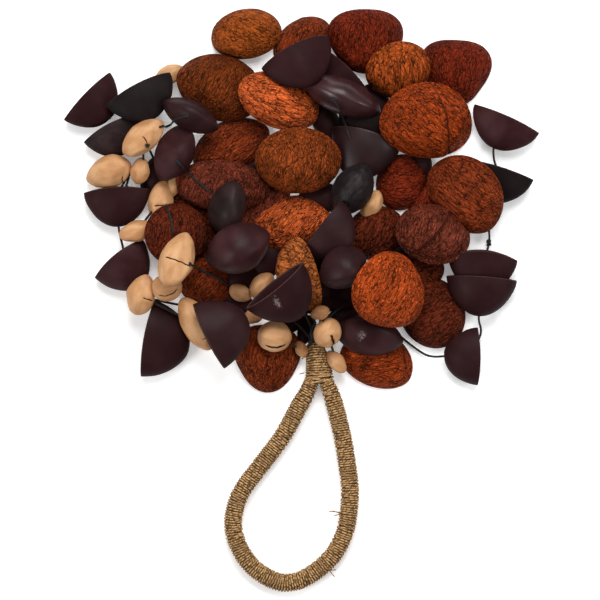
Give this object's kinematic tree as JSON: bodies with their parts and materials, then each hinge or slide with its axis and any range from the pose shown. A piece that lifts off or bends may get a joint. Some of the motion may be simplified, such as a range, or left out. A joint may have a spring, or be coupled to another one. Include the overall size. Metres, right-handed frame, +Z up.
{
  "type": "seed shaker",
  "caption": "Hand shaker: dried seed half shells and small nuts on black cords, gathered into a twine-wound rope hand loop.",
  "frame": {"origin": "on the surface it lies on, under the middle of the object's plan (free cords left out)", "axes": "+Z up from the surface, +Y from the hand loop towards the heap of shells, +X to the right seen from above"},
  "size_m": [0.262, 0.3219, 0.0457],
  "materials": {
    "brown_shell": "matt, finely wrinkled dried seed shell",
    "dark_shell": "smooth satin dark seed shell",
    "beige_nut": "matt smooth nut shell",
    "waxed_cord": "black waxed cord",
    "core_rope": "bundle of black cords",
    "twine": "two-ply plant fibre twine, wound close"
  },
  "bodies": {
    "root": {"brown_shell_01": "brown_shell", "brown_shell_02": "brown_shell", "brown_shell_03": "brown_shell", "brown_shell_04": "brown_shell", "brown_shell_05": "brown_shell", "brown_shell_06": "brown_shell", "brown_shell_07": "brown_shell", "brown_shell_08": "brown_shell", "brown_shell_09": "brown_shell", "brown_shell_10": "brown_shell", "brown_shell_11": "brown_shell", "brown_shell_12": "brown_shell", "brown_shell_13": "brown_shell", "brown_shell_14": "brown_shell", "brown_shell_15": "brown_shell", "brown_shell_16": "brown_shell", "brown_shell_17": "brown_shell", "brown_shell_18": "brown_shell", "brown_shell_19": "brown_shell", "brown_shell_20": "brown_shell", "brown_shell_21": "brown_shell", "brown_shell_22": "brown_shell", "brown_shell_23": "brown_shell", "cord_left": "waxed_cord", "cord_right": "waxed_cord", "dark_shell_01": "dark_shell", "dark_shell_02": "dark_shell", "dark_shell_03": "dark_shell", "dark_shell_04": "dark_shell", "dark_shell_05": "dark_shell", "dark_shell_07": "dark_shell", "dark_shell_08": "dark_shell", "dark_shell_09": "dark_shell", "dark_shell_10": "dark_shell", "dark_shell_11": "dark_shell", "dark_shell_12": "dark_shell", "dark_shell_13": "dark_shell", "dark_shell_14": "dark_shell", "dark_shell_15": "dark_shell", "dark_shell_16": "dark_shell", "dark_shell_17": "dark_shell", "dark_shell_18": "dark_shell", "dark_shell_19": "dark_shell", "dark_shell_20": "dark_shell", "dark_shell_22": "dark_shell", "dark_shell_23": "dark_shell", "dark_shell_24": "dark_shell", "dark_shell_25": "dark_shell", "dark_shell_26": "dark_shell", "dark_shell_27": "dark_shell", "dark_shell_28": "dark_shell", "handle_core": "core_rope", "loop_twine": "twine", "neck_binding": "twine", "nut_string_1": "beige_nut", "nut_string_2": "beige_nut", "nut_string_3": "beige_nut", "nut_string_4": "beige_nut", "nut_string_5": "beige_nut", "nut_string_6": "beige_nut"}
  },
  "joints": []
}
